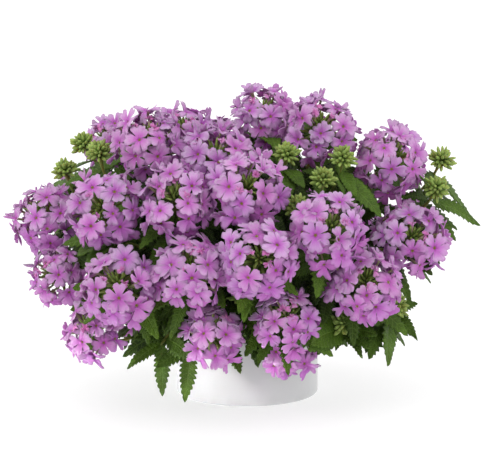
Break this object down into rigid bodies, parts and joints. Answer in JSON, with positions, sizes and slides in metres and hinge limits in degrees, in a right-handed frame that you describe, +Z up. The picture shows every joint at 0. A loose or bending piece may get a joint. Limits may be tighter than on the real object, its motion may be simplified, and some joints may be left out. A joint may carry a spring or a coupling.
{
  "type": "potted verbena",
  "caption": "Bushy flowering verbena with domed heads of notched florets and toothed leaves, in a growing pot inside a low round cover pot.",
  "frame": {"origin": "centre of the cover pot's flat foot", "axes": "+Z up along the pot's axis, +X along the plant's widest spread, -Y towards the side it is shown from"},
  "size_m": [0.3867, 0.3261, 0.2579],
  "materials": {
    "cover_pot": "glossy white",
    "growing_pot": "satin black",
    "soil": "crumbly and damp",
    "petal": "soft and matt",
    "leaf": "slightly rough, half matt"
  },
  "bodies": {
    "root": {"cover_pot": "cover_pot", "growing_pot": "growing_pot", "head_back_1": "petal", "head_back_2": "petal", "head_back_3": "petal", "head_back_far_right_1": "petal", "head_back_far_right_2": "petal", "head_back_far_right_3": "petal", "head_back_left_1": "petal", "head_back_left_2": "petal", "head_back_lower_left_1": "petal", "head_back_lower_left_2": "petal", "head_back_right_1": "petal", "head_back_right_2": "petal", "head_inner_left_1": "petal", "head_inner_left_2": "petal", "head_left_1": "petal", "head_left_2": "petal", "head_low_front_1": "petal", "head_low_front_2": "petal", "head_low_front_3": "petal", "head_low_left_1": "petal", "head_low_left_2": "petal", "head_mid_left_1": "petal", "head_mid_left_2": "petal", "head_mid_right_1": "petal", "head_mid_right_2": "petal", "head_middle_1": "petal", "head_middle_2": "petal", "head_right_1": "petal", "head_right_2": "petal", "head_top_left_1": "petal", "head_top_left_2": "petal", "head_top_right_1": "petal", "head_top_right_2": "petal", "head_upper_middle_1": "petal", "shoots_back": "leaf", "shoots_back_far_right": "leaf", "shoots_back_left": "leaf", "shoots_back_lower_left": "leaf", "shoots_back_right": "leaf", "shoots_inner_left": "leaf", "shoots_left": "leaf", "shoots_low_front": "leaf", "shoots_low_left": "leaf", "shoots_mid_left": "leaf", "shoots_mid_right": "leaf", "shoots_middle": "leaf", "shoots_right": "leaf", "shoots_top_left": "leaf", "shoots_top_right": "leaf", "shoots_upper_middle": "leaf", "soil": "soil"}
  },
  "joints": []
}
